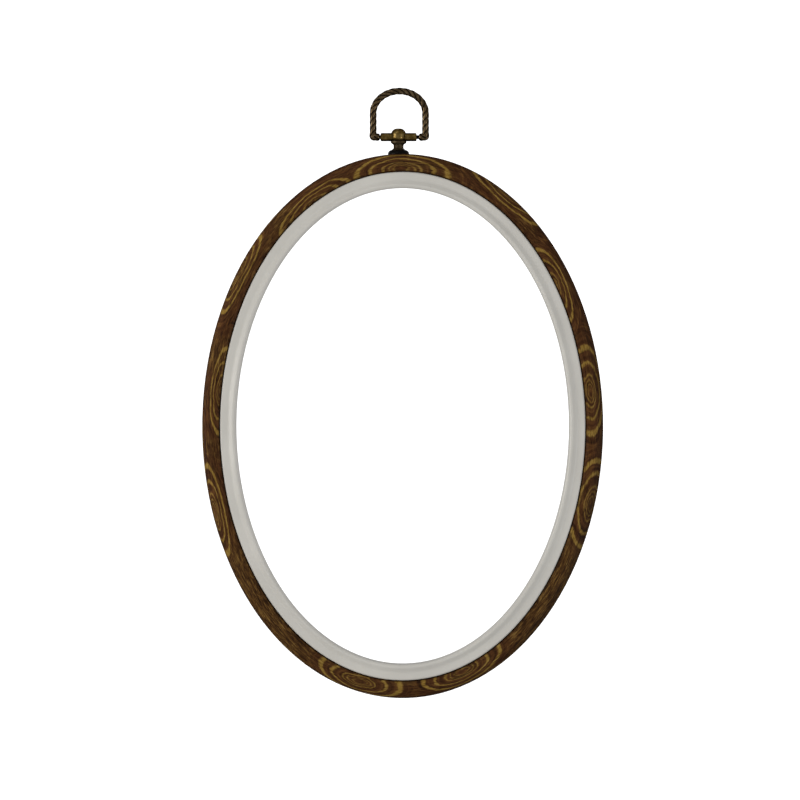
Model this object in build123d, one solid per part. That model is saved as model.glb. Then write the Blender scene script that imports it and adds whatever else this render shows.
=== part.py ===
from build123d import *
import os

# Oval embroidery hoop: a rigid inner hoop, a flexible outer hoop that grips
# the cloth over it, and a hanger at the top. Millimetres, +Z up, +X right,
# +Y towards the wall. The origin is where a nail carries the twisted bail.

# Rigid inner hoop
opening_width = 99.9
opening_height = 142.8
inner_wall = 2.9
flange_reach = 1.85
flange_thickness = 1.3
flange_setback = 0.35
flange_edge_radius = 0.5
flange_back_radius = 0.25
bead_height = 1.0
bead_crest_inset = 0.85
bead_slope_width = 1.5
bead_radius = 0.55
bead_foot_radius = 0.8
inner_back_radius = 0.5
inner_back_setback = 0.25

# Flexible outer hoop
hoop_depth = 9.5
cloth_gap = 0.3
front_band_width = 5.1
front_crown_share = 0.35
front_inner_drop = 0.15
front_outer_drop = 0.9
front_crown_radius = 4.0
front_outer_radius = 1.5
front_inner_radius = 0.7
back_edge_radius = 0.8
seat_corner_radius = 0.3
hanger_side_offset = 1.24

# Twisted bail
wire_radius = 1.05
groove_depth = 0.2
twist_pitch = 8.0
strand_count = 4
leg_height = 7.2
arch_rise = 6.6
section_step = 0.6
corner_swell = 0.06
foot_reach = 1.95
foot_gap = 0.5
foot_tip_radius = 0.78
foot_tip_length = 0.6
pin_radius = 0.6
pin_length = 2.5
bail_shift_share = 0.48

# Cross tube
tube_radius = 1.25
tube_length = 10.8
tube_end_chamfer = 0.25
pin_clearance = 0.05
tube_clearance = 0.02

# Hanger post, from the ball down
ball_radius = 2.22
ball_top_rise = 2.59
ball_top_radius = 1.75
ball_side_drop = 0.35
ball_side_radius = 1.2
collar_join_radius = 1.75
collar_drop = 1.12
collar_radius = 2.33
collar_rim = 0.62
collar_edge_radius = 0.18
collar_low_radius = 0.4
collar_taper = 0.58
neck_length = 1.13
neck_wall = 0.47
neck_top_radius = 0.5
flare_height = 0.34
flare_reach = 0.6
flare_radius = 0.5
post_foot_edge = 0.1

# Base cup
cup_radius = 3.17
cup_height = 1.4
cup_edge_radius = 1.05
cup_seat_depth = 0.2
cup_seat_clearance = 0.05

# Screw and washer
screw_radius = 1.0
screw_clearance = 0.05
thread_clearance = 0.02
thread_engagement = 1.54
screw_tip_gap = 0.46
screw_tip_chamfer = 0.25
head_radius = 1.95
head_height = 1.3
head_edge_radius = 0.5
head_recess = 0.4
driver_span = 2.3
driver_width = 0.5
driver_depth = 0.75
washer_radius = 2.25
washer_thickness = 0.3
washer_hole_clearance = 0.1
counterbore_clearance = 0.1

# Overrun of every cutting tool
overrun = 1.0

# Radial places, measured outwards from the opening
flange_edge = inner_wall + flange_reach
bore_offset = inner_wall + cloth_gap
seat_offset = flange_edge + cloth_gap
outer_offset = seat_offset + front_band_width

# Depths, negative towards the viewer
front_face = -hoop_depth / 2
back_face = hoop_depth / 2
flange_face = front_face + flange_setback
flange_back = flange_face + flange_thickness
seat_floor = flange_back + cloth_gap
bead_crest = flange_face - bead_height
inner_back = back_face - inner_back_setback

# Sizes of the hanger that follow from its pieces
groove_radius = wire_radius - groove_depth
corner_radius = wire_radius + corner_swell
leg_spacing = tube_length + 2 * (foot_gap + foot_reach)
neck_radius = screw_radius + thread_clearance + neck_wall
post_foot_radius = neck_radius + flare_reach
thread_depth = thread_engagement + screw_tip_gap
counterbore_depth = washer_thickness + head_height + head_recess

# Heights
pivot_z = wire_radius - leg_height - arch_rise
ball_top_z = pivot_z + ball_top_rise
ball_side_z = pivot_z - ball_side_drop
collar_z = pivot_z - collar_drop
collar_low_z = collar_z - collar_rim
neck_top_z = collar_low_z - collar_taper
neck_low_z = neck_top_z - neck_length
post_foot_z = neck_low_z - flare_height
cup_top_z = post_foot_z - post_foot_edge
cup_bottom_z = cup_top_z - cup_height
hoop_top_z = cup_bottom_z + cup_seat_depth
hoop_center_z = hoop_top_z - outer_offset - opening_height / 2
bore_top_z = hoop_top_z - outer_offset + bore_offset
washer_top_z = bore_top_z + counterbore_depth
head_top_z = washer_top_z - washer_thickness
screw_tip_z = cup_top_z + thread_engagement

# Sideways places
hanger_x = -bail_shift_share * foot_gap
hoop_x = hanger_x + hanger_side_offset


def rounded_face(corners):
    """Closed outline from (across, along, radius) corners."""
    points = [(across, along) for across, along, _ in corners]
    radii = [radius for _, _, radius in corners]
    return make_face(FilletPolyline(*points, radius=radii, close=True))


def oval_ring(section):
    """Carry a section, measured from the opening's edge, round the oval."""
    path = Edge.make_ellipse(opening_width / 2, opening_height / 2, Plane.XZ)
    placed = Pos(opening_width / 2, 0, 0) * section
    ring = sweep(placed, path=path)
    return Pos(hoop_x, 0, hoop_center_z) * ring


def upright_cylinder(radius, bottom_z, top_z):
    """Cylinder on the hanger's upright axis between two heights."""
    height = top_z - bottom_z
    return Pos(hanger_x, 0, bottom_z + height / 2) * Cylinder(radius, height)


def turned(section):
    """Turn a face drawn in the XZ plane about the hanger's upright axis."""
    return Pos(hanger_x, 0, 0) * revolve(Plane.XZ * section, Axis.Z)


def make_inner_hoop():
    slope_foot = bead_crest_inset + bead_slope_width
    section = rounded_face([
        (0, bead_crest + bead_radius, bead_radius),
        (bead_crest_inset, bead_crest, bead_radius),
        (slope_foot, flange_face, bead_foot_radius),
        (flange_edge, flange_face, flange_edge_radius),
        (flange_edge, flange_back, flange_back_radius),
        (inner_wall, flange_back, flange_back_radius),
        (inner_wall, inner_back, inner_back_radius),
        (0, inner_back, inner_back_radius),
    ])
    return oval_ring(section)


def make_outer_hoop():
    crown_place = seat_offset + front_crown_share * front_band_width
    section = rounded_face([
        (seat_offset, front_face + front_inner_drop, front_inner_radius),
        (crown_place, front_face, front_crown_radius),
        (outer_offset, front_face + front_outer_drop, front_outer_radius),
        (outer_offset, back_face + overrun, 0),
        (bore_offset, back_face + overrun, 0),
        (bore_offset, seat_floor, seat_corner_radius),
        (seat_offset, seat_floor, seat_corner_radius),
    ])
    hoop = oval_ring(section)
    # The back is trimmed to a true plane, so that it rests flat on the wall.
    trim_side = opening_height + 2 * (outer_offset + overrun)
    trimmer = Box(trim_side, 2 * overrun, trim_side,
                  align=(Align.CENTER, Align.MIN, Align.CENTER))
    hoop -= Pos(hoop_x, back_face, hoop_center_z) * trimmer
    hoop = fillet(hoop.edges().group_by(Axis.Y)[-1], back_edge_radius)
    cup_seat_radius = cup_radius + cup_seat_clearance
    hoop -= upright_cylinder(cup_seat_radius, cup_bottom_z, hoop_top_z + overrun)
    hoop -= upright_cylinder(screw_radius + screw_clearance,
                             bore_top_z - overrun, hoop_top_z)
    hoop -= upright_cylinder(washer_radius + counterbore_clearance,
                             bore_top_z - overrun, washer_top_z)
    return hoop


def make_base_cup():
    cup = upright_cylinder(cup_radius, cup_bottom_z, cup_top_z)
    cup = fillet(cup.edges().group_by(Axis.Z)[-1], cup_edge_radius)
    hole = upright_cylinder(screw_radius + screw_clearance,
                            cup_bottom_z - overrun, cup_top_z + overrun)
    return cup - hole


def make_hanger_post():
    post = turned(rounded_face([
        (0, ball_top_z, 0),
        (ball_radius, ball_top_z, ball_top_radius),
        (ball_radius, ball_side_z, ball_side_radius),
        (collar_join_radius, collar_z, 0),
        (collar_radius, collar_z, collar_edge_radius),
        (collar_radius, collar_low_z, collar_low_radius),
        (neck_radius, neck_top_z, neck_top_radius),
        (neck_radius, neck_low_z, flare_radius),
        (post_foot_radius, post_foot_z, 0),
        (post_foot_radius, cup_top_z, 0),
        (0, cup_top_z, 0),
    ]))
    post -= upright_cylinder(screw_radius + thread_clearance,
                             cup_top_z - overrun, cup_top_z + thread_depth)
    cross_bore = Cylinder(tube_radius + tube_clearance, tube_length)
    return post - Pos(hanger_x, 0, pivot_z) * Rot(0, 90, 0) * cross_bore


def make_cross_tube():
    tube = Cylinder(tube_radius, tube_length)
    tube = chamfer(tube.edges(), tube_end_chamfer)
    tube -= Cylinder(pin_radius + pin_clearance, tube_length + overrun)
    return Pos(hanger_x, 0, pivot_z) * Rot(0, 90, 0) * tube


def bail_path():
    """Centreline of the twisted wire: a leg, the arch and the other leg."""
    side = leg_spacing / 2
    arch_z = pivot_z + leg_height
    return Wire([
        Edge.make_line((-side, 0, pivot_z), (-side, 0, arch_z)),
        Edge.make_ellipse(side, arch_rise, Plane((0, 0, arch_z), (1, 0, 0), (0, -1, 0)),
                          start_angle=180, end_angle=0,
                          angular_direction=AngularDirection.CLOCKWISE),
        Edge.make_line((side, 0, arch_z), (side, 0, pivot_z)),
    ])


def strand_outline():
    """Cross-section of the twisted wire: one round lobe for each strand."""
    lobe = 360 / strand_count
    arcs = []
    for strand in range(strand_count):
        middle = strand * lobe
        places = [
            (groove_radius, middle - lobe / 2),
            (wire_radius, middle),
            (groove_radius, middle + lobe / 2),
        ]
        points = [Vector(radius, 0, 0).rotate(Axis.Z, angle)
                  for radius, angle in places]
        arcs.append(Edge.make_three_point_arc(*points))
    return Wire(arcs)


def make_bail():
    path = bail_path()
    outline = strand_outline()
    steps = 2 * round(path.length / section_step / 2)
    sections = []
    for step in range(steps + 1):
        share = step / steps
        # A lobe faces the nail at the middle of the arch.
        turn = 360 * (share - 0.5) * path.length / twist_pitch
        plane = Plane(path.position_at(share), (0, 1, 0), path.tangent_at(share))
        sections.append(plane.location * Rot(0, 0, turn) * outline)
    bail = Part() + Solid.make_loft(sections)
    foot_length = foot_reach - foot_tip_length
    for side in (-1, 1):
        corner_x = side * leg_spacing / 2
        tip_x = corner_x - side * foot_reach
        along = Rot(0, -side * 90, 0)
        bail += Pos(corner_x, 0, pivot_z) * Sphere(corner_radius)
        foot_x = corner_x - side * foot_length / 2
        bail += Pos(foot_x, 0, pivot_z) * along * Cylinder(corner_radius, foot_length)
        cone_x = tip_x + side * foot_tip_length / 2
        bail += Pos(cone_x, 0, pivot_z) * along * Cone(
            corner_radius, foot_tip_radius, foot_tip_length)
        pin_x = tip_x - side * pin_length / 2
        bail += Pos(pin_x, 0, pivot_z) * along * Cylinder(pin_radius, pin_length)
    return bail


def make_hanger_screw():
    head_bottom_z = head_top_z - head_height
    shank = upright_cylinder(screw_radius, head_top_z, screw_tip_z)
    shank = chamfer(shank.edges().group_by(Axis.Z)[-1], screw_tip_chamfer)
    head = upright_cylinder(head_radius, head_bottom_z, head_top_z)
    head = fillet(head.edges().group_by(Axis.Z)[0], head_edge_radius)
    slot = Box(driver_span, driver_width, driver_depth,
               align=(Align.CENTER, Align.CENTER, Align.MIN))
    recess = slot + Rot(0, 0, 90) * slot
    return head + shank - Pos(hanger_x, 0, head_bottom_z) * recess


def make_screw_washer():
    washer = upright_cylinder(washer_radius, head_top_z, washer_top_z)
    hole = upright_cylinder(screw_radius + washer_hole_clearance,
                            head_top_z - overrun, washer_top_z + overrun)
    return washer - hole


nodes = {
    "inner_hoop": make_inner_hoop(),
    "outer_hoop": make_outer_hoop(),
    "base_cup": make_base_cup(),
    "hanger_post": make_hanger_post(),
    "cross_tube": make_cross_tube(),
    "bail": make_bail(),
    "hanger_screw": make_hanger_screw(),
    "screw_washer": make_screw_washer(),
}

os.makedirs("parts", exist_ok=True)
for name, solid in nodes.items():
    export_step(solid, f"parts/{name}.step")
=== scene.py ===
import math

import bpy
import numpy as np
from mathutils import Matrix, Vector


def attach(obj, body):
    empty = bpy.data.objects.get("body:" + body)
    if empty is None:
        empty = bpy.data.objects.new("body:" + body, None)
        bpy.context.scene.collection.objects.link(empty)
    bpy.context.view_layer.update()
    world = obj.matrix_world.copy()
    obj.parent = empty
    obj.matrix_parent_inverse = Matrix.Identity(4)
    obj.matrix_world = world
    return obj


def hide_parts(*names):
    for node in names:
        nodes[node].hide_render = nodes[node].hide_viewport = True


# Oval embroidery hoop hanging upright in a white studio. Metres, +Z up, front
# towards -Y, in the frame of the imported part.

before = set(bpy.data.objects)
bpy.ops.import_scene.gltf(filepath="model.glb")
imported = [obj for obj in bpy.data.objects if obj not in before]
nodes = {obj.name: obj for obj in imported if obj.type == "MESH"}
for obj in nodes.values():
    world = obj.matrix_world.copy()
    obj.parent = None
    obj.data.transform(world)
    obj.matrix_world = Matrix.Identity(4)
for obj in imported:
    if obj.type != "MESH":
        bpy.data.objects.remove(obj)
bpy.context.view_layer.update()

# Sizes of the part that the materials follow, in millimetres. The places on
# the outer hoop's band are distances outwards from the opening.
MM = 1000.0
OPENING_HALF_WIDTH = 49.95
OPENING_HALF_HEIGHT = 71.4
HOOP_CENTER_X = 1.0
HOOP_CENTER_Z = -99.39
BAND_INNER = 5.05
BAND_MIDDLE = 7.6
BAND_OUTER = 10.15
FRONT_DEPTH = -4.7
PIVOT_Z = -12.75

WHITE = (1.0, 1.0, 1.0, 1.0)

# Sockets of a Mix node that take its two colours
MIX_FIRST = 6
MIX_SECOND = 7


def srgb(code):
    """Linear colour of a #rrggbb code."""
    values = [int(code[i:i + 2], 16) / 255 for i in (1, 3, 5)]
    linear = [v / 12.92 if v <= 0.04045 else ((v + 0.055) / 1.055) ** 2.4
              for v in values]
    return (*linear, 1.0)


class Graph:
    """Builds one material's node tree."""

    def __init__(self, name):
        self.material = bpy.data.materials.new(name)
        self.material.use_nodes = True
        self.tree = self.material.node_tree
        self.shader = self.tree.nodes["Principled BSDF"]

    def node(self, kind, **settings):
        made = self.tree.nodes.new(kind)
        for key, value in settings.items():
            setattr(made, key, value)
        return made

    def feed(self, socket, value):
        if hasattr(value, "is_output"):
            self.tree.links.new(value, socket)
        else:
            socket.default_value = value

    def set(self, name, value):
        self.feed(self.shader.inputs[name], value)

    def math(self, operation, *values, clamp=False):
        made = self.node("ShaderNodeMath", operation=operation, use_clamp=clamp)
        for socket, value in zip(made.inputs, values):
            self.feed(socket, value)
        return made.outputs[0]

    def times(self, first, *others):
        product = first
        for other in others:
            product = self.math("MULTIPLY", product, other)
        return product

    def linear(self, value, factor, plus):
        return self.math("MULTIPLY_ADD", value, factor, plus)

    def centered(self, noise, span):
        """Noise spread evenly about zero."""
        return self.linear(noise, span, -span / 2)

    def rest(self, value):
        """What is left of one."""
        return self.math("SUBTRACT", 1.0, value)

    def length(self, first, second):
        return self.math("SQRT", self.math(
            "ADD", self.times(first, first), self.times(second, second)))

    def vector(self, x, y, z):
        made = self.node("ShaderNodeCombineXYZ")
        for socket, value in zip(made.inputs, (x, y, z)):
            self.feed(socket, value)
        return made.outputs[0]

    def noise(self, vector, scale, detail=2.0, roughness=0.5, seed=None):
        made = self.node("ShaderNodeTexNoise",
                         noise_dimensions="3D" if seed is None else "4D")
        self.feed(made.inputs["Vector"], vector)
        if seed is not None:
            self.feed(made.inputs["W"], seed)
        made.inputs["Scale"].default_value = scale
        made.inputs["Detail"].default_value = detail
        made.inputs["Roughness"].default_value = roughness
        return made.outputs["Fac"]

    def ramp(self, factor, stops):
        """Blend of stops, each a place with a colour code or a level."""
        made = self.node("ShaderNodeValToRGB")
        elements = made.color_ramp.elements
        while len(elements) < len(stops):
            elements.new(1.0)
        for element, (place, value) in zip(elements, stops):
            element.position = place
            element.color = (srgb(value) if isinstance(value, str)
                             else (value,) * 3 + (1.0,))
        self.feed(made.inputs[0], factor)
        return made.outputs[0]

    def smooth(self, value, low, high):
        made = self.node("ShaderNodeMapRange", interpolation_type="SMOOTHSTEP")
        self.feed(made.inputs["Value"], value)
        made.inputs["From Min"].default_value = low
        made.inputs["From Max"].default_value = high
        return made.outputs["Result"]

    def mix(self, factor, first, second):
        made = self.node("ShaderNodeMix", data_type="RGBA")
        self.feed(made.inputs[0], factor)
        self.feed(made.inputs[MIX_FIRST], first)
        self.feed(made.inputs[MIX_SECOND], second)
        return made.outputs[2]

    def scale(self, vector, factor):
        made = self.node("ShaderNodeVectorMath", operation="SCALE")
        self.feed(made.inputs[0], vector)
        self.feed(made.inputs["Scale"], factor)
        return made.outputs[0]

    def place(self):
        """Rest position on the part, in millimetres."""
        coordinates = self.node("ShaderNodeTexCoord").outputs["Object"]
        return self.scale(coordinates, MM)

    def split(self, vector):
        made = self.node("ShaderNodeSeparateXYZ")
        self.feed(made.inputs[0], vector)
        return made.outputs

    def attribute(self, name):
        made = self.node("ShaderNodeAttribute", attribute_name=name)
        return made.outputs["Fac"]

    def bump(self, height, distance, strength):
        """Fine relief, its distance in metres."""
        made = self.node("ShaderNodeBump")
        made.inputs["Strength"].default_value = strength
        made.inputs["Distance"].default_value = distance
        self.feed(made.inputs["Height"], height)
        self.set("Normal", made.outputs[0])


# Knots of the printed grain: place round the hoop as a share of its length,
# clockwise from the top; distance outwards from the opening; half length and
# half width of the outermost ring, in millimetres. The side knots lie past the
# band's outer edge, where the distance runs on towards the back.
FRONT_KNOTS = [
    (0.000, 6.0, 13.8, 4.7),
    (0.0766, 11.7, 12.4, 4.4),
    (0.143, 4.4, 12.5, 4.0),
    (0.2240, 6.8, 13.1, 4.8),
    (0.3031, 9.5, 12.9, 6.0),
    (0.4570, 6.1, 12.7, 4.2),
    (0.5313, 7.2, 12.9, 4.4),
    (0.6922, 9.9, 13.4, 3.5),
    (0.7758, 4.9, 14.0, 3.4),
    (0.8570, 10.5, 12.7, 3.5),
    (0.9313, 4.6, 13.7, 3.8),
]
SIDE_KNOTS = [
    (0.115, 15.2, 11.0, 3.2),
    (0.190, 18.5, 12.0, 4.0),
    (0.262, 15.6, 12.0, 3.6),
    (0.360, 16.4, 13.0, 3.4),
    (0.425, 13.4, 10.0, 2.6),
    (0.498, 17.4, 12.5, 4.2),
    (0.585, 14.6, 12.0, 3.4),
    (0.650, 18.6, 11.0, 3.4),
    (0.735, 15.2, 12.5, 4.0),
    (0.815, 18.4, 12.0, 3.6),
    (0.895, 14.8, 11.5, 3.4),
    (0.965, 16.6, 12.0, 3.6),
    (0.040, 17.2, 12.5, 3.8),
]
KNOT_DRIFT_ALONG = 3.6
KNOT_DRIFT_ACROSS = 1.5
RING_RIPPLE = 0.13
# Strength of the gold from a knot's middle, where 0.5 is its outermost ring
RING_SHARE = 0.5
RING_STOPS = [
    (0.000, 0.00), (0.066, 0.00), (0.086, 0.55), (0.104, 0.00),
    (0.122, 0.00), (0.140, 0.70), (0.158, 0.00), (0.180, 0.00),
    (0.200, 0.85), (0.220, 0.00), (0.314, 0.00), (0.334, 0.95),
    (0.350, 0.95), (0.370, 0.00), (0.461, 0.00), (0.482, 1.00),
    (0.515, 1.00), (0.537, 0.00),
]
# Places where the grain runs in dashes: share round the hoop and half length
STREAKED_ZONES = [(0.379, 17.0), (0.614, 20.0), (0.800, 5.0), (0.905, 4.0)]
ZONE_FADE = 4.0
CLOUD_STRENGTH = 0.6
DASHES_EVERYWHERE = 0.2
DASHES_IN_ZONES = 0.75
GROUND_TONES = [(0.30, "#1c0d05"), (0.44, "#391e0e"),
                (0.56, "#503019"), (0.72, "#735026")]
DASH_TONES = [(0.34, "#1d0f04"), (0.47, "#422a13"),
              (0.57, "#654822"), (0.70, "#8c703b")]
GOLD_TONES = [(0.30, "#69501e"), (0.50, "#896b2f"), (0.70, "#a5894b")]
PORE_COLOR = "#1b0d05"
PORE_STRENGTH = 0.50
PRINT_GAIN = 1.08
# Dark edges of the band's front, partly a darker print edge and partly painted shade
# where the band rounds away and where it meets the inner hoop, in millimetres, and their
# strength
PRINT_EDGE = 0.2
RIM_WIDTH = 0.9
RIM_OVERSHOOT = 0.1
INNER_RIM_WIDTH = 0.45
INNER_RIM_PRINT_AND_SHADE_STRENGTH = 0.4
RIM_PRINT_AND_SHADE_STRENGTH = 0.48
RIM_PRINT_AND_SHADE_COLOR = "#170b03"
FRONT_DEPTH_KEPT = 0.9
FRONT_DEPTH_LOST = 2.0
# Painted shade and painted light on the outer slope: darker at the lower right, lighter
# at the left
PAINTED_SLOPE_START = 7.8
PAINTED_SLOPE_FULL = 8.8
PAINTED_SHADE_TURN_DEGREES = 22.0
PAINTED_LIGHT_AND_SHADE_SWING = -0.36
PAINTED_SLOPE_SHADE = -0.04


def oval_place(graph):
    """Turn, foot on the opening, distance from it and depth of the point."""
    x, depth, z = graph.split(graph.place())
    across = graph.math("SUBTRACT", x, HOOP_CENTER_X)
    up = graph.math("SUBTRACT", z, HOOP_CENTER_Z)
    turn = graph.math(
        "ARCTAN2",
        graph.math("DIVIDE", up, OPENING_HALF_HEIGHT + BAND_MIDDLE),
        graph.math("DIVIDE", across, OPENING_HALF_WIDTH + BAND_MIDDLE))
    cosine = graph.math("COSINE", turn)
    sine = graph.math("SINE", turn)
    foot_x = graph.times(cosine, OPENING_HALF_WIDTH)
    foot_z = graph.times(sine, OPENING_HALF_HEIGHT)
    normal_x = graph.times(cosine, OPENING_HALF_HEIGHT)
    normal_z = graph.times(sine, OPENING_HALF_WIDTH)
    along_x = graph.times(graph.math("SUBTRACT", across, foot_x), normal_x)
    along_z = graph.times(graph.math("SUBTRACT", up, foot_z), normal_z)
    distance = graph.math("DIVIDE", graph.math("ADD", along_x, along_z),
                          graph.length(normal_x, normal_z))
    return turn, foot_x, foot_z, distance, depth


def oval_turn(share):
    """Angle and local scale of a place round the hoop, clockwise from the top."""
    half_width = OPENING_HALF_WIDTH + BAND_MIDDLE
    half_height = OPENING_HALF_HEIGHT + BAND_MIDDLE
    angles = np.linspace(0, 2 * math.pi, 7201)
    steps = np.hypot(np.diff(half_width * np.sin(angles)),
                     np.diff(half_height * np.cos(angles)))
    lengths = np.concatenate([[0], np.cumsum(steps)])
    angle = float(np.interp(share * lengths[-1], lengths, angles))
    scale = math.hypot(half_width * math.cos(angle), half_height * math.sin(angle))
    return math.pi / 2 - angle, scale


def woodgrain():
    """Flexible vinyl printed with a knotted dark grain."""
    g = Graph("woodgrain_vinyl")
    turn, foot_x, foot_z, distance, depth = oval_place(g)
    spread = g.math("ADD", distance, g.math("SUBTRACT", depth, FRONT_DEPTH))

    def stretched(along_share, across):
        """Place for noise that is drawn out round the hoop."""
        return g.vector(g.times(foot_x, along_share),
                        g.times(foot_z, along_share), across)

    def streaks(along_share, across_share, **settings):
        return g.noise(stretched(along_share, g.times(spread, across_share)),
                       **settings)

    # Slow drifts that bend the knots, and a ripple that roughens their rings
    drift_place = g.vector(foot_x, foot_z, spread)
    drift_along = g.centered(g.noise(drift_place, scale=0.09), KNOT_DRIFT_ALONG)
    drift_across = g.centered(g.noise(drift_place, scale=0.13, seed=7.0),
                              KNOT_DRIFT_ACROSS)
    ripple = g.centered(
        g.noise(stretched(0.5, spread), scale=1.3, detail=3.0, seed=3.0), RING_RIPPLE)

    def along_from(share):
        """Millimetres round the hoop between a place on it and the point."""
        place_turn, scale = oval_turn(share)
        swing = g.math("WRAP", g.math("SUBTRACT", place_turn, turn),
                       math.pi, -math.pi)
        return g.linear(swing, scale, drift_along)

    nearest = None
    for share, center, half_length, half_width in FRONT_KNOTS + SIDE_KNOTS:
        along = g.math("DIVIDE", along_from(share), half_length)
        outwards = g.math("ADD", g.math("SUBTRACT", spread, center), drift_across)
        ring = g.length(along, g.math("DIVIDE", outwards, half_width))
        nearest = ring if nearest is None else g.math("MINIMUM", nearest, ring)
    rings = g.ramp(g.times(g.math("ADD", nearest, ripple), RING_SHARE), RING_STOPS)

    # The dark figure flows round the knots; the dashes run round the hoop
    figure = g.noise(stretched(0.22, g.times(nearest, 7.0)),
                     scale=1.7, detail=4.0, roughness=0.65, seed=1.0)
    dashes = streaks(0.28, 2.2, scale=1.5, detail=3.0, roughness=0.70, seed=5.0)
    clouds = g.noise(drift_place, scale=0.11, seed=11.0)
    zone = g.times(g.smooth(clouds, 0.52, 0.70), CLOUD_STRENGTH)
    for share, half_length in STREAKED_ZONES:
        away = g.math("ABSOLUTE", along_from(share))
        beyond = g.smooth(away, half_length - ZONE_FADE, half_length + ZONE_FADE)
        zone = g.math("MAXIMUM", zone, g.rest(beyond))
    color = g.mix(g.linear(zone, DASHES_IN_ZONES, DASHES_EVERYWHERE),
                  g.ramp(figure, GROUND_TONES), g.ramp(dashes, DASH_TONES))

    # Gold rings, broken by the dashes and left off beside the inner hoop
    printed = g.smooth(distance, BAND_INNER - PRINT_EDGE, BAND_INNER + PRINT_EDGE)
    gold = g.times(rings, g.smooth(dashes, 0.24, 0.44), printed)
    color = g.mix(gold, color, g.ramp(dashes, GOLD_TONES))
    # Short dark pores over the whole print
    pores = g.smooth(streaks(0.24, 2.5, scale=1.6, roughness=0.6, seed=21.0),
                     0.54, 0.64)
    color = g.mix(g.times(pores, PORE_STRENGTH), color, srgb(PORE_COLOR))

    # Dark rims on the front: partly print, partly painted shade of the rounded outer
    # edge and of the crevice beside the inner hoop
    on_front = g.rest(g.smooth(depth, FRONT_DEPTH + FRONT_DEPTH_KEPT,
                               FRONT_DEPTH + FRONT_DEPTH_LOST))
    outer_rim_print_and_shade = g.smooth(distance, BAND_OUTER - RIM_WIDTH, BAND_OUTER + RIM_OVERSHOOT)
    inner_rim_print_and_shade = g.rest(g.smooth(distance, BAND_INNER, BAND_INNER + INNER_RIM_WIDTH))
    rim_print_and_shade = g.math("MAXIMUM", outer_rim_print_and_shade, g.times(inner_rim_print_and_shade, INNER_RIM_PRINT_AND_SHADE_STRENGTH))
    color = g.mix(g.times(rim_print_and_shade, on_front, RIM_PRINT_AND_SHADE_STRENGTH), color, srgb(RIM_PRINT_AND_SHADE_COLOR))
    # Painted shade on the outer slope towards the lower right, painted light towards the
    # upper left
    painted_shade_side = g.math("COSINE", g.math("ADD", turn, math.radians(PAINTED_SHADE_TURN_DEGREES)))
    painted_slope_mask = g.times(on_front, g.smooth(distance, PAINTED_SLOPE_START, PAINTED_SLOPE_FULL))
    painted_light_and_shade = g.times(painted_slope_mask, g.linear(painted_shade_side, PAINTED_LIGHT_AND_SHADE_SWING, PAINTED_SLOPE_SHADE))
    color = g.scale(color, g.math("ADD", painted_light_and_shade, PRINT_GAIN))

    g.set("Base Color", color)
    g.set("Roughness", g.linear(dashes, 0.22, 0.40))
    g.set("Specular IOR Level", 0.06)
    g.bump(g.math("ADD", figure, g.times(gold, 0.6)), 0.00006, 0.5)
    return g.material


def white_plastic():
    """Moulded white plastic, faintly uneven in tone and gloss."""
    g = Graph("moulded_white_plastic")
    place = g.place()
    tone = g.noise(place, scale=0.06, detail=3.0)
    grain = g.noise(place, scale=2.4, detail=3.0, roughness=0.6)
    specks = g.smooth(g.noise(place, scale=0.9, roughness=0.4), 0.74, 0.80)
    color = g.ramp(tone, [(0.35, "#d6d3cb"), (0.65, "#dddad2")])
    g.set("Base Color", g.mix(g.times(specks, 0.25), color, srgb("#a8a49c")))
    g.set("Roughness", g.linear(grain, 0.16, 0.30))
    g.set("Specular IOR Level", 0.45)
    g.set("Subsurface Weight", 0.06)
    g.set("Subsurface Radius", (0.0012, 0.0011, 0.0009))
    g.bump(grain, 0.00002, 0.35)
    return g.material


# Tones of the brass from its recesses to its rubbed high spots
WEAR_PLACES = (0.00, 0.15, 0.34, 0.52)
ROPE_TONES = ("#0c0804", "#261c10", "#584831", "#8f7c5f")
BRASS_TONES = ("#0c0703", "#2e210d", "#685326", "#937f50")
LOW_TONES = ("#0d0905", "#241b10", "#4a3d2a", "#7a6a50")
BRASS_EDGE_TONE = "#33240f"
# The duller brass of the collar and foot, below the cross tube
LOW_DULLNESS = 0.3
LOW_FROM = PIVOT_Z - 1.2
LOW_TO = PIVOT_Z - 0.5
RECESS_REACH = 0.0009


def antique_brass(name, tones, low_tones=None, grooved=False, grime=1.4,
                  dullness=0.20):
    """Darkened brass, rubbed bright where it stands proud."""
    g = Graph(name)
    place = g.place()
    mottling = g.noise(place, scale=0.7, detail=3.0, roughness=0.55)
    grain = g.noise(place, scale=5.0, detail=3.0, roughness=0.6)
    cover = g.node("ShaderNodeAmbientOcclusion", samples=8)
    cover.inputs["Distance"].default_value = RECESS_REACH
    proud = g.math("POWER", cover.outputs["AO"], grime)
    if grooved:
        proud = g.times(proud, g.smooth(g.attribute("proud"), -0.1, 0.9))
    wear = g.linear(mottling, 0.55, g.times(grain, 0.15))
    wear = g.math("MULTIPLY", wear, proud, clamp=True)
    color = g.ramp(wear, list(zip(WEAR_PLACES, tones)))
    roughness = g.linear(grain, 0.20, dullness)
    if low_tones:
        low = g.ramp(wear, list(zip(WEAR_PLACES, low_tones)))
        high = g.smooth(g.split(place)[2], LOW_FROM, LOW_TO)
        color = g.mix(high, low, color)
        roughness = g.math("ADD", roughness,
                           g.linear(high, -LOW_DULLNESS, LOW_DULLNESS))
    g.set("Base Color", color)
    g.set("Metallic", 0.92)
    g.set("Specular Tint", srgb(BRASS_EDGE_TONE))
    g.set("Roughness", roughness)
    g.set("Coat Weight", 0.06)
    g.set("Coat Roughness", 0.25)
    g.bump(g.math("ADD", mottling, g.times(grain, 0.4)), 0.00002, 0.3)
    return g.material


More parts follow.
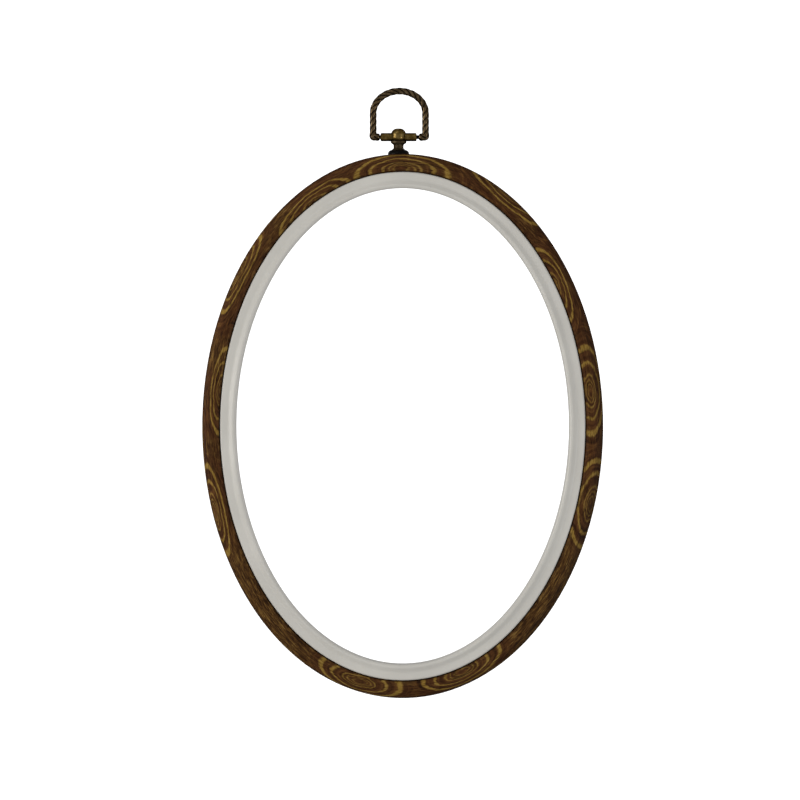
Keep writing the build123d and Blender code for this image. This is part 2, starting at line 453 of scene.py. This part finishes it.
def black_metal():
    """Satin black of the cup, faintly mottled."""
    g = Graph("blackened_metal")
    place = g.place()
    mottling = g.noise(place, scale=1.4, detail=4.0, roughness=0.6)
    grain = g.noise(place, scale=6.0, roughness=0.6)
    g.set("Base Color", g.ramp(mottling, [(0.40, "#040302"), (0.70, "#0c0906")]))
    g.set("Roughness", g.linear(grain, 0.2, 0.32))
    g.set("Specular IOR Level", 0.08)
    g.bump(grain, 0.00002, 0.3)
    return g.material


def plated_steel():
    """Zinc-plated steel with a fine grain."""
    g = Graph("plated_steel")
    place = g.place()
    grain = g.noise(place, scale=7.0, detail=3.0, roughness=0.6)
    tone = g.noise(place, scale=0.8, detail=3.0)
    g.set("Base Color", g.ramp(tone, [(0.35, "#b8b8b2"), (0.65, "#d2d0c6")]))
    g.set("Metallic", 1.0)
    g.set("Roughness", g.linear(grain, 0.2, 0.26))
    g.bump(grain, 0.00002, 0.3)
    return g.material


def dress(piece, material):
    piece.data.materials.clear()
    piece.data.materials.append(material)


# Twisted bail, in millimetres
LEG_X = 7.85
LEG_HEIGHT = 7.2
ARCH_RISE = 6.6
WIRE_RADIUS = 1.05
STRANDS = 4
STRAND_RADIUS = 0.71
TWIST_PITCH = 8.0
BEND_RADIUS = 0.35
FOOT_REACH = 1.95
FOOT_TAPER = 0.7
FOOT_TIP_SHARE = 0.78
FOOT_SWELL = 0.09
PIN_RADIUS = 0.59
PIN_LENGTH = 2.4
PIN_PROUD = 0.1
SECTION_STEP = 0.14
SECTION_POINTS = 48
BEND_POINTS = 13
ARCH_POINTS = 61


def bail_route():
    """Centreline points of the wire from the tip of one foot to the other."""
    bend_x = LEG_X - BEND_RADIUS
    bend_z = PIVOT_Z + BEND_RADIUS
    arch_z = PIVOT_Z + LEG_HEIGHT
    half = [(LEG_X - FOOT_REACH, PIVOT_Z), (bend_x, PIVOT_Z)]
    for angle in np.radians(np.linspace(-90, 0, BEND_POINTS))[1:]:
        half.append((bend_x + BEND_RADIUS * math.cos(angle),
                     bend_z + BEND_RADIUS * math.sin(angle)))
    for angle in np.radians(np.linspace(0, 90, ARCH_POINTS)):
        half.append((LEG_X * math.cos(angle), arch_z + ARCH_RISE * math.sin(angle)))
    left = [(-x, z) for x, z in half]
    return np.array(left + half[-2::-1])


def spaced(points, step):
    """Points at even steps along a polyline, with their lengths."""
    lengths = np.concatenate([[0], np.cumsum(np.hypot(*np.diff(points, axis=0).T))])
    count = int(round(lengths[-1] / step))
    places = np.linspace(0, lengths[-1], count + 1)
    even = [np.interp(places, lengths, points[:, axis]) for axis in (0, 1)]
    return np.stack(even, axis=1), places


def strand_profile(angles):
    """Radius of the strands' outline at angles from one strand's middle."""
    lobe = 2 * math.pi / STRANDS
    center = WIRE_RADIUS - STRAND_RADIUS
    folded = (angles + lobe / 2) % lobe - lobe / 2
    return center * np.cos(folded) + np.sqrt(
        STRAND_RADIUS ** 2 - (center * np.sin(folded)) ** 2)


def foot_share(from_tip):
    """Thickness of the wire as a share of its own, near the tip of a foot."""
    taper = min(1.0, from_tip / FOOT_TAPER)
    beyond = min(max((from_tip - FOOT_REACH) / FOOT_REACH, 0.0), 1.0)
    narrowed = FOOT_TIP_SHARE + (1 - FOOT_TIP_SHARE) * math.sin(taper * math.pi / 2)
    return narrowed * (1 + FOOT_SWELL * (1 - beyond))


def bail_sections(angles):
    """Sections along the wire: place, direction, radii and proudness."""
    route, lengths = spaced(bail_route(), SECTION_STEP)
    total = lengths[-1]
    tangents = np.gradient(route, axis=0)
    tangents /= np.hypot(*tangents.T)[:, None]
    groove = strand_profile(np.array([math.pi / STRANDS]))[0]
    sections = []
    for place, tangent, length in zip(route, tangents, lengths):
        turn = 2 * math.pi * (length - total / 2) / TWIST_PITCH
        radii = strand_profile(angles - turn)
        proud = (radii - groove) / (WIRE_RADIUS - groove)
        radii = radii * foot_share(min(length, total - length))
        sections.append((place, tangent, radii, proud))

    def pin(section, reach):
        """Two sections of the round pin on the tip of a foot."""
        place, tangent = section[:2]
        radii = np.full(SECTION_POINTS, PIN_RADIUS)
        proud = np.full(SECTION_POINTS, PIN_PROUD)
        return [(place, tangent, radii, proud),
                (place + np.array([reach, 0.0]), tangent, radii, proud)]

    return (pin(sections[0], PIN_LENGTH)[::-1] + sections
            + pin(sections[-1], -PIN_LENGTH))


def twisted_bail():
    """Bail of twisted wire with bent feet and the pins on their tips."""
    count = SECTION_POINTS
    angles = np.linspace(0, 2 * math.pi, count, endpoint=False)
    sections = bail_sections(angles)
    across = np.array([0.0, 1.0, 0.0])
    vertices, proudness = [], []
    for (x, z), (along_x, along_z), radii, proud in sections:
        normal = np.cross([along_x, 0.0, along_z], across)
        ring = (np.array([x, 0.0, z]) + np.outer(radii * np.cos(angles), across)
                + np.outer(radii * np.sin(angles), normal))
        vertices.extend(ring / MM)
        proudness.extend(proud)
    faces = []
    for row in range(0, (len(sections) - 1) * count, count):
        for point in range(count):
            after = (point + 1) % count
            faces.append((row + point, row + after,
                          row + count + after, row + count + point))
    faces.append(tuple(range(count))[::-1])
    faces.append(tuple(range((len(sections) - 1) * count, len(sections) * count)))
    mesh = bpy.data.meshes.new("twisted_bail")
    mesh.from_pydata([tuple(vertex) for vertex in vertices], [], faces)
    mesh.polygons.foreach_set("use_smooth", [len(face) == 4 for face in faces])
    mesh.attributes.new("proud", "FLOAT", "POINT").data.foreach_set(
        "value", proudness)
    mesh.update()
    piece = bpy.data.objects.new("twisted_bail", mesh)
    bpy.context.scene.collection.objects.link(piece)
    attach(piece, "bail")
    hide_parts("bail")
    return piece


dress(twisted_bail(), antique_brass("twisted_brass", ROPE_TONES, grooved=True,
                                    dullness=0.24))
dress(nodes["outer_hoop"], woodgrain())
dress(nodes["inner_hoop"], white_plastic())
dress(nodes["base_cup"], black_metal())
dress(nodes["hanger_post"], antique_brass("post_brass", BRASS_TONES, LOW_TONES,
                                          grime=0.7, dullness=0.26))
dress(nodes["cross_tube"], antique_brass("tube_brass", BRASS_TONES))
steel = plated_steel()
for steel_node in ("hanger_screw", "screw_washer"):
    dress(nodes[steel_node], steel)

# White studio room, in metres
ROOM_REACH = 6.0
FLOOR_Z = -1.3
CEILING_Z = 6.0
FLOOR_COLOR = "#e8e7e4"
FLOOR_GLOW = 0.5
WALL_COLOR = (0.9, 0.9, 0.9, 1.0)
WALL_GLOW = 1.0


def staged(name, corners, faces, color, glow):
    """Plain floor or walls of the studio, which only the camera sees."""
    mesh = bpy.data.meshes.new(name)
    mesh.from_pydata(corners, [], faces)
    piece = bpy.data.objects.new(name, mesh)
    bpy.context.scene.collection.objects.link(piece)
    g = Graph(name)
    g.set("Base Color", color)
    g.set("Roughness", 0.9)
    g.set("Emission Color", WHITE)
    g.set("Emission Strength", glow)
    piece.data.materials.append(g.material)
    # It neither lights the object nor mirrors in it
    piece.visible_diffuse = False
    piece.visible_glossy = False
    piece.visible_shadow = False


floor_corners = [(-ROOM_REACH, -ROOM_REACH, FLOOR_Z), (ROOM_REACH, -ROOM_REACH, FLOOR_Z),
                 (ROOM_REACH, ROOM_REACH, FLOOR_Z), (-ROOM_REACH, ROOM_REACH, FLOOR_Z)]
ceiling_corners = [(x, y, CEILING_Z) for x, y, _ in floor_corners]
walls = [(side, (side + 1) % 4, 4 + (side + 1) % 4, 4 + side) for side in range(4)]
ceiling = (4, 5, 6, 7)
staged("floor", floor_corners, [(0, 1, 2, 3)], srgb(FLOOR_COLOR), FLOOR_GLOW)
staged("walls", floor_corners + ceiling_corners, walls + [ceiling],
       WALL_COLOR, WALL_GLOW)

# Camera and framing
PIXEL_MM = 0.3
IMAGE_PIXELS = 800
CAMERA_DISTANCE = 2.0
SENSOR_MM = 36.0
VIEW_CENTER = Vector((0.000195, 0.0, -0.09158))
CAMERA_RISE_DEGREES = 0.5

# Soft lights: name, place, size, power and colour
SOFT_LIGHTS = [
    ("key_left", (-1.15, -0.62, -0.03), 0.45, 5.6, (1.0, 0.985, 0.96)),
    ("fill_right", (1.05, -0.95, -0.42), 0.40, 4.3, (0.97, 0.98, 1.0)),
    ("front_top", (-0.55, -1.2, 1.05), 0.6, 2.3, (1.0, 1.0, 1.0)),
]
WORLD_STRENGTH = 0.39


def soft_light(name, place, size, power, color):
    """Square lamp that is aimed at the object."""
    light = bpy.data.lights.new(name, "AREA")
    light.shape = "SQUARE"
    light.size = size
    light.energy = power
    light.color = color
    lamp = bpy.data.objects.new(name, light)
    lamp.location = place
    aim = VIEW_CENTER - Vector(place)
    lamp.rotation_euler = aim.to_track_quat("-Z", "Y").to_euler()
    bpy.context.scene.collection.objects.link(lamp)


for settings in SOFT_LIGHTS:
    soft_light(*settings)

world = bpy.data.worlds.new("studio")
world.use_nodes = True
background = world.node_tree.nodes["Background"]
background.inputs["Color"].default_value = WHITE
background.inputs["Strength"].default_value = WORLD_STRENGTH
bpy.context.scene.world = world
bpy.context.scene.view_settings.view_transform = "Standard"

camera_data = bpy.data.cameras.new("camera")
camera_data.sensor_width = SENSOR_MM
camera_data.lens = SENSOR_MM * CAMERA_DISTANCE / (PIXEL_MM * IMAGE_PIXELS / MM)
camera = bpy.data.objects.new("camera", camera_data)
rise = math.radians(CAMERA_RISE_DEGREES)
camera.location = VIEW_CENTER + CAMERA_DISTANCE * Vector(
    (0, -math.cos(rise), math.sin(rise)))
sight = VIEW_CENTER - camera.location
camera.rotation_euler = sight.to_track_quat("-Z", "Y").to_euler()
bpy.context.scene.collection.objects.link(camera)
bpy.context.scene.camera = camera
